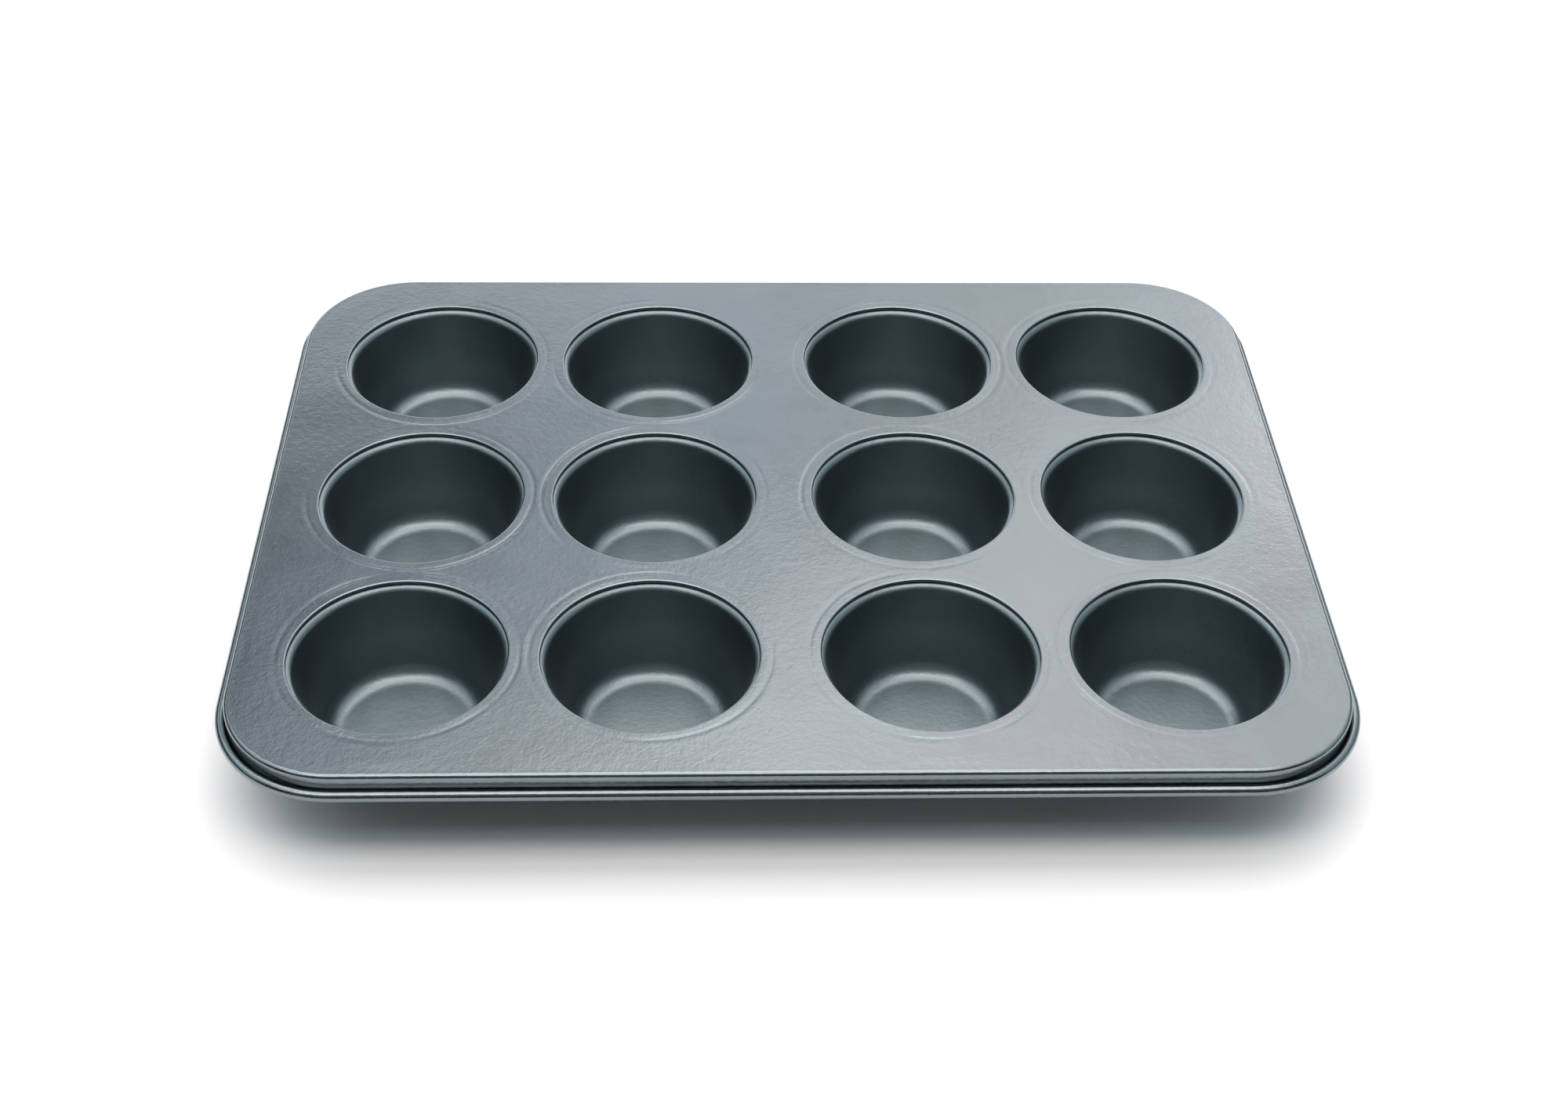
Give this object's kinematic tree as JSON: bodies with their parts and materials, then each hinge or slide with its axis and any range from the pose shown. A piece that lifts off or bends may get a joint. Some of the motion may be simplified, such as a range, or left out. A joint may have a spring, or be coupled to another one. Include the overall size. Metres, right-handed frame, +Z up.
{
  "type": "muffin tin",
  "caption": "Flat baking tin with round tapered cups hung in a flat deck, short skirt and wired rolled edge, for baking muffins.",
  "frame": {"origin": "on the resting plane, under the middle of the tin", "axes": "+Z up out of the cups, +X along the long side, +Y to the back (the side where the rim wire's ends meet)"},
  "size_m": [0.3612, 0.2726, 0.0344],
  "materials": {
    "deck_coating": "grey non-stick coating, satin gloss, fine orange-peel surface",
    "cup_coating": "grey non-stick coating, satin gloss, slightly darker in the drawn wall",
    "wire_steel": "bright drawn steel wire, hidden inside the rolled edge"
  },
  "bodies": {
    "root": {"deck_plate": "deck_coating", "rim_wire": "wire_steel", "cup_back_1": "cup_coating", "cup_back_2": "cup_coating", "cup_back_3": "cup_coating", "cup_back_4": "cup_coating", "cup_middle_1": "cup_coating", "cup_middle_2": "cup_coating", "cup_middle_3": "cup_coating", "cup_middle_4": "cup_coating", "cup_front_1": "cup_coating", "cup_front_2": "cup_coating", "cup_front_3": "cup_coating", "cup_front_4": "cup_coating"}
  },
  "joints": []
}
